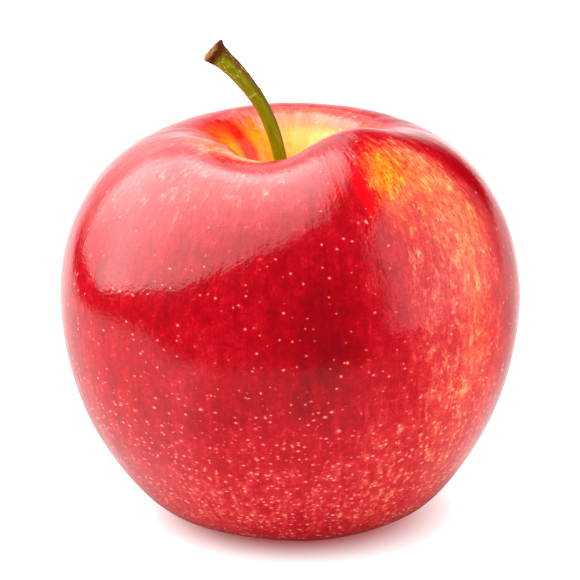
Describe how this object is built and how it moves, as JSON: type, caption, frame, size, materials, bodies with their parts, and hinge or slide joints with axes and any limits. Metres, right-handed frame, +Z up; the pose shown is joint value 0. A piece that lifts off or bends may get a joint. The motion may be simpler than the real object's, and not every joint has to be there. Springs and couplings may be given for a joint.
{
  "type": "red apple",
  "caption": "Whole ripe red apple with its stem: a round fruit with uneven shoulders, a deep stem cavity and a calyx basin, resting on the low knobs around the basin.",
  "frame": {"origin": "middle of the underside, on the surface that the apple rests on, below the apple's axis", "axes": "+Z up along the core's axis to the stem; -Y to the front, the side that the picture shows; +X to the right in that view"},
  "size_m": [0.0782, 0.0782, 0.0817],
  "materials": {
    "apple_skin": "waxy red skin with fine streaks, a yellow-orange cheek and pale dots, polished",
    "stem_wood": "olive green woody stalk, brown at its broken end",
    "dried_sepal": "dry, downy, grey-brown",
    "dried_stamen": "dry, matt, dark brown",
    "dried_styles": "dry, matt, dark brown"
  },
  "bodies": {
    "root": {"apple_body": "apple_skin", "stem": "stem_wood", "sepal_1": "dried_sepal", "sepal_2": "dried_sepal", "sepal_3": "dried_sepal", "sepal_4": "dried_sepal", "sepal_5": "dried_sepal", "stamen_01": "dried_stamen", "stamen_02": "dried_stamen", "stamen_03": "dried_stamen", "stamen_04": "dried_stamen", "stamen_05": "dried_stamen", "stamen_06": "dried_stamen", "stamen_07": "dried_stamen", "stamen_08": "dried_stamen", "stamen_09": "dried_stamen", "stamen_10": "dried_stamen", "styles": "dried_styles"}
  },
  "joints": []
}
